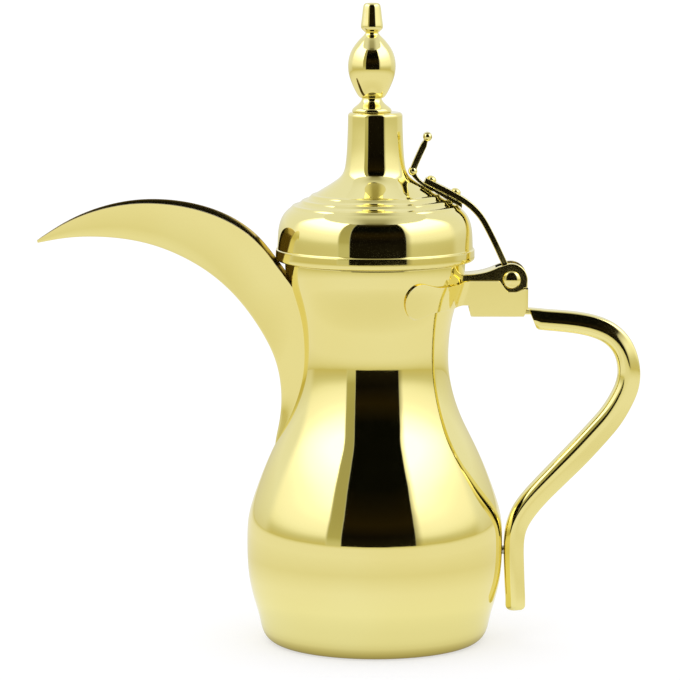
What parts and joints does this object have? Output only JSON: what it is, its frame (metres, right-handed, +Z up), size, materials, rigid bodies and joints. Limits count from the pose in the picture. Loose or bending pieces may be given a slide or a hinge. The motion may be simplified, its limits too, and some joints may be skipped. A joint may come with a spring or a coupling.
{
  "type": "dallah coffee pot",
  "caption": "Dallah coffee pot with waisted round body, long open crescent spout, strap-hinged lid with thumb lever and tall finial, and a curved bar handle.",
  "frame": {"origin": "centre of the flat base the pot stands on", "axes": "+Z up, spout towards -X, handle towards +X, +Y across the pot"},
  "size_m": [0.282, 0.1198, 0.3],
  "materials": {
    "pot_gold": "mirror-polished pale gold plating over steel",
    "lid_gold": "mirror-polished pale gold plating over steel, three raised rings",
    "finial_gold": "turned and polished, gold plated",
    "fittings_gold": "polished cast and folded fittings, gold plated",
    "strap_gold": "polished strip, gold plated, soft edges",
    "rivet_gold": "domed polished heads, gold plated",
    "satin_liner": "satin steel with a thin gold wash",
    "plain_steel": "plain steel, lightly turned"
  },
  "bodies": {
    "pot": {"body_shell": "pot_gold", "base_disc": "satin_liner", "spout": "pot_gold", "handle_bracket": "fittings_gold", "hinge_channel": "fittings_gold", "hinge_pin": "rivet_gold", "handle": "fittings_gold", "handle_foot_rivet": "plain_steel"},
    "lid": {"lid_shell": "lid_gold", "lid_liner": "satin_liner", "finial_foot": "finial_gold", "finial_bulb": "finial_gold", "finial_tip": "finial_gold", "finial_stud": "plain_steel", "stud_washer": "plain_steel", "stud_nut": "plain_steel", "hinge_strap": "strap_gold", "thumb_lever": "strap_gold", "strap_rivet_front": "rivet_gold", "strap_rivet_rear": "rivet_gold", "rivet_burr_front": "plain_steel", "rivet_burr_rear": "plain_steel"}
  },
  "joints": [
    {"name": "lid_hinge", "type": "hinge", "parent": "pot", "child": "lid", "pos_m": [0.0635, 0, 0.1716], "axis": [0, 1, 0], "range_deg": [0, 130]}
  ]
}
